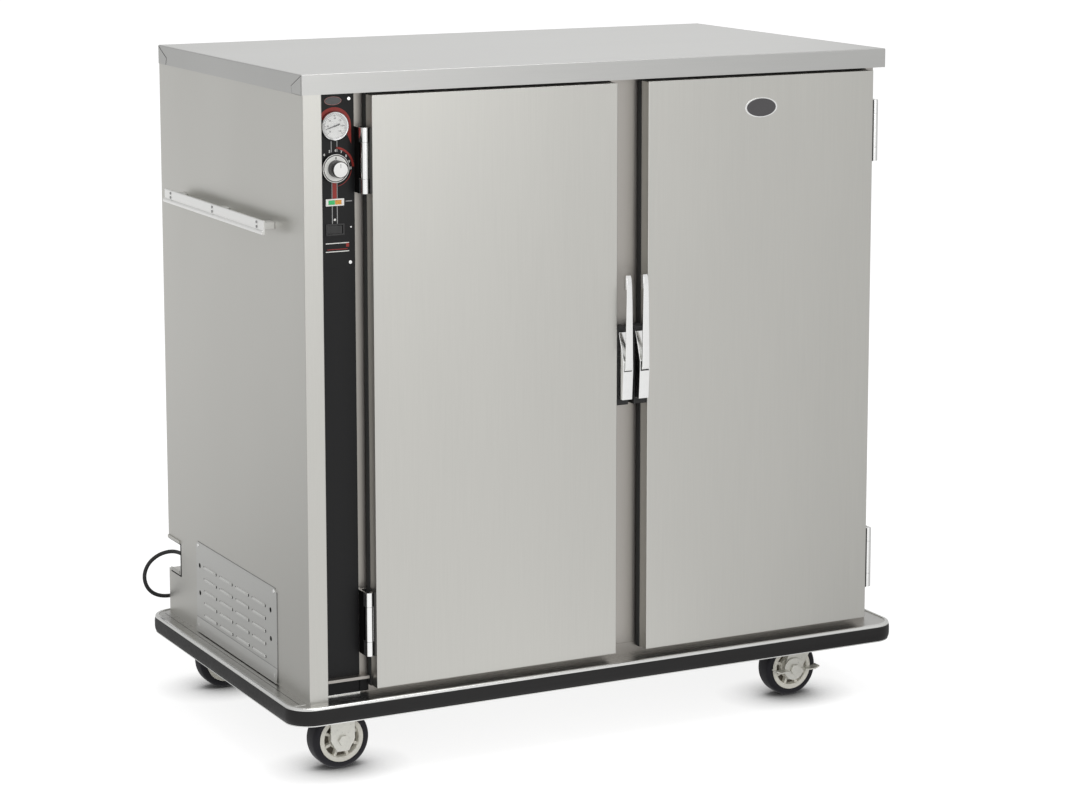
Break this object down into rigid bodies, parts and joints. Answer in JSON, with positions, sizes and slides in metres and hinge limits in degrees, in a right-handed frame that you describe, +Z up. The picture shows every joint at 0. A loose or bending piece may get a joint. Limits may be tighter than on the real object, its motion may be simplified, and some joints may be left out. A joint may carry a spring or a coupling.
{
  "type": "heated transport cabinet",
  "caption": "Insulated two-door hot holding cabinet on casters, with a control column, push handle, shelves, blower heater and wraparound bumper.",
  "frame": {"origin": "on the floor, under the middle of the bumpered base", "axes": "+Z up, doors face -Y, control column and push handle at the -X end"},
  "size_m": [1.471, 1.0878, 1.454],
  "materials": {
    "stainless": "brushed stainless sheet",
    "lining": "plain mill finish sheet",
    "wire": "bright plated bars",
    "mineral_wool": "loose fibre slab",
    "black_panel": "satin black",
    "bumper_rubber": "smooth",
    "bumper_trim": "bright extrusion",
    "seal_rubber": "soft",
    "chrome_fittings": "polished plating",
    "latch_black": "fine texture",
    "strike_steel": "plain",
    "zinc_steel": "bright zinc",
    "hub_cream": "moulded",
    "tyre_black": "worn rubber",
    "dial_chrome": "bright bezel",
    "needle_black": "matt black",
    "control_black": "smooth",
    "knob_pale": "smooth",
    "element_steel": "heat darkened sheath",
    "motor_paint": "black enamel",
    "fan_metal": "plain",
    "handle_aluminium": "satin extrusion",
    "louvre_stainless": "brushed sheet",
    "cord_rubber": "smooth jacket"
  },
  "bodies": {
    "cabinet": {"top_cap": "stainless", "side_panel_left": "stainless", "side_panel_right": "stainless", "back_panel": "stainless", "front_frame": "stainless", "base_deck": "stainless", "inner_liner": "lining", "shelf_posts": "lining", "wire_shelves": "wire", "insulation": "mineral_wool", "control_panel": "black_panel", "lower_panel": "black_panel", "bumper": "bumper_rubber", "bumper_channel": "bumper_trim", "hinge_frame_leaves": "chrome_fittings", "cover_screws": "chrome_fittings", "latch_strikes": "strike_steel", "caster_mounts": "zinc_steel", "thermometer_case": "dial_chrome", "thermostat_body": "control_black", "switch_frame": "control_black", "indicator_lamps": "control_black", "heater_element": "element_steel", "blower_motor": "motor_paint", "push_handle": "handle_aluminium", "louvre_panel": "louvre_stainless", "strain_relief": "cord_rubber", "cord_lead": "cord_rubber", "cord_coil": "cord_rubber", "cord_plug": "cord_rubber"},
    "door_left": {"door_left_skin": "stainless", "door_left_liner": "lining", "door_left_gasket": "seal_rubber", "door_left_hinges": "chrome_fittings", "latch_left_body": "chrome_fittings", "latch_left_magnet": "latch_black"},
    "door_right": {"door_right_skin": "stainless", "door_right_liner": "lining", "door_right_gasket": "seal_rubber", "door_right_hinges": "chrome_fittings", "latch_right_body": "chrome_fittings", "latch_right_magnet": "latch_black"},
    "lever_left": {"latch_left_lever": "chrome_fittings"},
    "lever_right": {"latch_right_lever": "chrome_fittings"},
    "needle": {"thermometer_needle": "needle_black"},
    "knob": {"thermostat_knob": "knob_pale"},
    "rocker": {"switch_rocker": "control_black"},
    "fan": {"blower_fan": "fan_metal"},
    "swivel_front": {"swivel_fork_front": "zinc_steel"},
    "swivel_rear": {"swivel_fork_rear": "zinc_steel"},
    "pedal_front": {"brake_pedal_front": "zinc_steel"},
    "pedal_rear": {"brake_pedal_rear": "zinc_steel"},
    "swivel_wheel_front": {"swivel_hub_front": "hub_cream", "swivel_tyre_front": "tyre_black"},
    "swivel_wheel_rear": {"swivel_hub_rear": "hub_cream", "swivel_tyre_rear": "tyre_black"},
    "rigid_wheel_front": {"rigid_hub_front": "hub_cream", "rigid_tyre_front": "tyre_black"},
    "rigid_wheel_rear": {"rigid_hub_rear": "hub_cream", "rigid_tyre_rear": "tyre_black"}
  },
  "joints": [
    {"name": "door_left_hinge", "type": "hinge", "parent": "cabinet", "child": "door_left", "pos_m": [-0.5475, -0.397, 0.794], "axis": [0, 0, -1], "range_deg": [0, 155]},
    {"name": "door_right_hinge", "type": "hinge", "parent": "cabinet", "child": "door_right", "pos_m": [0.6685, -0.397, 0.794], "axis": [0, 0, 1], "range_deg": [0, 180]},
    {"name": "latch_left_pull", "type": "hinge", "parent": "door_left", "child": "lever_left", "pos_m": [0.0405, -0.423, 0.807], "axis": [1, 0, 0], "range_deg": [0, 35], "stiffness_Nm_per_rad": 0.8},
    {"name": "latch_right_pull", "type": "hinge", "parent": "door_right", "child": "lever_right", "pos_m": [0.0805, -0.423, 0.807], "axis": [1, 0, 0], "range_deg": [0, 35], "stiffness_Nm_per_rad": 0.8},
    {"name": "thermometer_swing", "type": "hinge", "parent": "cabinet", "child": "needle", "pos_m": [-0.5995, -0.366, 1.3445], "axis": [0, 1, 0], "range_deg": [0, 240]},
    {"name": "thermostat_turn", "type": "hinge", "parent": "cabinet", "child": "knob", "pos_m": [-0.5995, -0.379, 1.259], "axis": [0, 1, 0], "range_deg": [0, 300]},
    {"name": "power_switch", "type": "hinge", "parent": "cabinet", "child": "rocker", "pos_m": [-0.5995, -0.3578, 1.1343], "axis": [0, 0, 1], "range_deg": [0, 16]},
    {"name": "blower_spin", "type": "hinge", "parent": "cabinet", "child": "fan", "pos_m": [-0.504, -0.009, 0.294], "axis": [1, 0, 0], "continuous": true},
    {"name": "rigid_roll_front", "type": "hinge", "parent": "cabinet", "child": "rigid_wheel_front", "pos_m": [-0.591, -0.326, 0.0635], "axis": [0, 1, 0], "continuous": true},
    {"name": "swivel_turn_front", "type": "hinge", "parent": "cabinet", "child": "swivel_front", "pos_m": [0.551, -0.311, 0.14], "axis": [0, 0, 1], "continuous": true},
    {"name": "swivel_roll_front", "type": "hinge", "parent": "swivel_front", "child": "swivel_wheel_front", "pos_m": [0.513, -0.311, 0.0635], "axis": [0, 1, 0], "continuous": true},
    {"name": "brake_press_front", "type": "hinge", "parent": "swivel_front", "child": "pedal_front", "pos_m": [0.513, -0.311, 0.0635], "axis": [0, 1, 0], "range_deg": [0, 18]},
    {"name": "rigid_roll_rear", "type": "hinge", "parent": "cabinet", "child": "rigid_wheel_rear", "pos_m": [-0.591, 0.326, 0.0635], "axis": [0, 1, 0], "continuous": true},
    {"name": "swivel_turn_rear", "type": "hinge", "parent": "cabinet", "child": "swivel_rear", "pos_m": [0.551, 0.311, 0.14], "axis": [0, 0, 1], "continuous": true},
    {"name": "swivel_roll_rear", "type": "hinge", "parent": "swivel_rear", "child": "swivel_wheel_rear", "pos_m": [0.513, 0.311, 0.0635], "axis": [0, 1, 0], "continuous": true},
    {"name": "brake_press_rear", "type": "hinge", "parent": "swivel_rear", "child": "pedal_rear", "pos_m": [0.513, 0.311, 0.0635], "axis": [0, 1, 0], "range_deg": [0, 18]}
  ]
}
